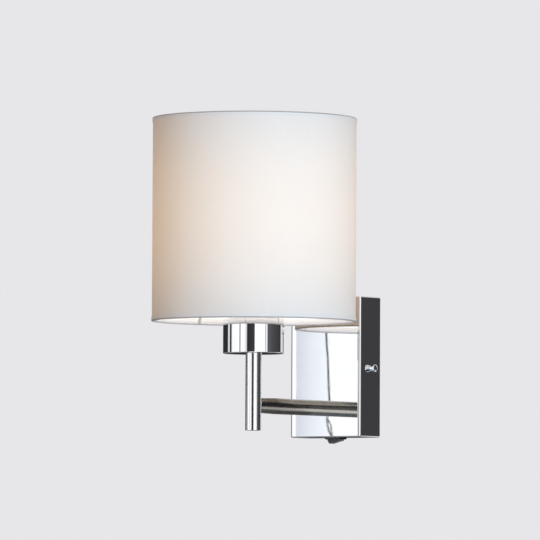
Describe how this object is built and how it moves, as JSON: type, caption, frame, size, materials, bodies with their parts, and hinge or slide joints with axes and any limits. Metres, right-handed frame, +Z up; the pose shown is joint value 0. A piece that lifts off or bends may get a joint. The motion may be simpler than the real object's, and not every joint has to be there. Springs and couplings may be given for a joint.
{
  "type": "fabric shade wall light",
  "caption": "Wall light with a drum fabric shade on an upright post, a straight arm and a polished wall plate with a rocker switch.",
  "frame": {"origin": "on the wall plane, midway between the two wall screws", "axes": "+Z up along the post, -Y out of the wall into the room, +X to the right seen from the room"},
  "size_m": [0.1608, 0.2004, 0.2533],
  "materials": {
    "polished_chrome": "mirror-polished chrome plate",
    "brushed_nickel": "satin nickel plate, grain round the tube",
    "zinc_plated_steel": "bright zinc plate",
    "brass": "bright turned brass",
    "tinned_copper": "dull tin plate",
    "black_gloss_plastic": "moulded, glossy",
    "holder_plastic": "moulded heat-resistant plastic",
    "block_plastic": "moulded, translucent white",
    "brown_insulation": "extruded insulation",
    "blue_insulation": "extruded insulation",
    "green_yellow_insulation": "extruded insulation, two-colour",
    "shade_cloth": "fine plain weave, off-white",
    "hem_tape": "folded tape of the same cloth",
    "shade_liner_film": "smooth white lampshade film",
    "white_enamelled_wire": "white enamel on steel wire",
    "bulb_glass": "clear blown glass",
    "bulb_cap_metal": "bright nickel-plated shell",
    "light_filament": "warm light filament"
  },
  "bodies": {
    "fixture": {"arm_backing_washer": "zinc_plated_steel", "arm_lock_washer": "zinc_plated_steel", "arm_nipple": "zinc_plated_steel", "arm_nut": "zinc_plated_steel", "arm_tube": "brushed_nickel", "bulb_cap": "bulb_cap_metal", "bulb_envelope": "bulb_glass", "bulb_filaments": "light_filament", "bulb_insulator": "black_gloss_plastic", "bulb_stem": "bulb_glass", "bulb_tip_contact": "tinned_copper", "cover_pan": "polished_chrome", "cup": "polished_chrome", "cup_lock_washer": "zinc_plated_steel", "cup_nut": "zinc_plated_steel", "earth_lead": "green_yellow_insulation", "earth_screw": "brass", "earth_tag": "tinned_copper", "holder_base": "holder_plastic", "holder_centre_contact": "tinned_copper", "holder_core": "holder_plastic", "holder_screw_shell": "brass", "holder_skirt": "holder_plastic", "holder_wire_posts": "brass", "neutral_lead": "blue_insulation", "post_end_cap": "polished_chrome", "post_nipple": "zinc_plated_steel", "post_tube": "polished_chrome", "shade_bottom_hem": "hem_tape", "shade_bottom_ring": "white_enamelled_wire", "shade_fabric": "shade_cloth", "shade_fitter": "white_enamelled_wire", "shade_liner": "shade_liner_film", "shade_ring_lower": "holder_plastic", "shade_ring_upper": "holder_plastic", "shade_spokes": "white_enamelled_wire", "shade_top_hem": "hem_tape", "shade_top_ring": "white_enamelled_wire", "side_screws": "polished_chrome", "supply_live_lead": "brown_insulation", "switch_body": "black_gloss_plastic", "switch_terminals": "tinned_copper", "switched_live_lead": "brown_insulation", "terminal_block": "block_plastic", "terminal_block_clamp_screws": "zinc_plated_steel", "terminal_block_fixing_screw": "zinc_plated_steel", "terminal_block_inserts": "brass", "wall_bracket": "zinc_plated_steel"},
    "rocker": {"switch_rocker": "black_gloss_plastic", "switch_plunger": "tinned_copper"},
    "contact_blade": {"switch_blade": "tinned_copper"}
  },
  "joints": [
    {"name": "rocker_tilt", "type": "hinge", "parent": "fixture", "child": "rocker", "pos_m": [0, -0.012, -0.05575], "axis": [0, 1, 0], "range_deg": [0, 28]},
    {"name": "contact_tilt", "type": "hinge", "parent": "fixture", "child": "contact_blade", "pos_m": [0, -0.012, -0.0507], "axis": [0, 1, 0], "range_deg": [-14, 0]}
  ],
  "couplings": [
    {"joint": "contact_tilt", "follows": "rocker_tilt", "ratio": -0.5}
  ]
}
